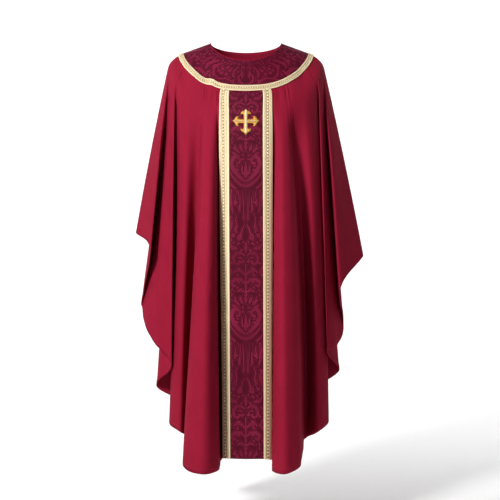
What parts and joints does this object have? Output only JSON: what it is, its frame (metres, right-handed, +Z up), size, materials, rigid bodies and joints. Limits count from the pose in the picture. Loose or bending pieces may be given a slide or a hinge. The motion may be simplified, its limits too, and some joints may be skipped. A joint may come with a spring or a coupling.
{
  "type": "chasuble",
  "caption": "Full-cut liturgical cloak with a round damask yoke, a front and back orphrey edged with gold galloon and a small gold cross, hanging in folds from the shoulders.",
  "frame": {"origin": "midway between the wearer's shoulders, at the height where the cloth rests on them", "axes": "+Z up, the wearer faces -Y, and the wearer's left hand is on the +X side"},
  "size_m": [0.6839, 0.5655, 1.2313],
  "materials": {
    "red_twill": "light polyester twill with a soft sheen",
    "damask": "satin figure on a darker matt ground",
    "gold_galloon": "woven metallic braid with a raised bead row",
    "gold_embroidery": "padded metallic thread",
    "label_satin": "blank satin ribbon"
  },
  "bodies": {
    "root": {"front_panel": "red_twill", "back_panel": "red_twill", "front_yoke": "damask", "back_yoke": "damask", "front_orphrey": "damask", "back_orphrey": "damask", "front_yoke_galloon": "gold_galloon", "back_yoke_galloon": "gold_galloon", "front_orphrey_galloon_right": "gold_galloon", "front_orphrey_galloon_left": "gold_galloon", "back_orphrey_galloon_right": "gold_galloon", "back_orphrey_galloon_left": "gold_galloon", "front_cross": "gold_embroidery", "front_neck_facing": "red_twill", "back_neck_facing": "red_twill", "front_hem_allowance": "red_twill", "back_hem_allowance": "red_twill", "shoulder_seam_allowance_right": "red_twill", "shoulder_seam_allowance_left": "red_twill", "size_label": "label_satin"}
  },
  "joints": []
}
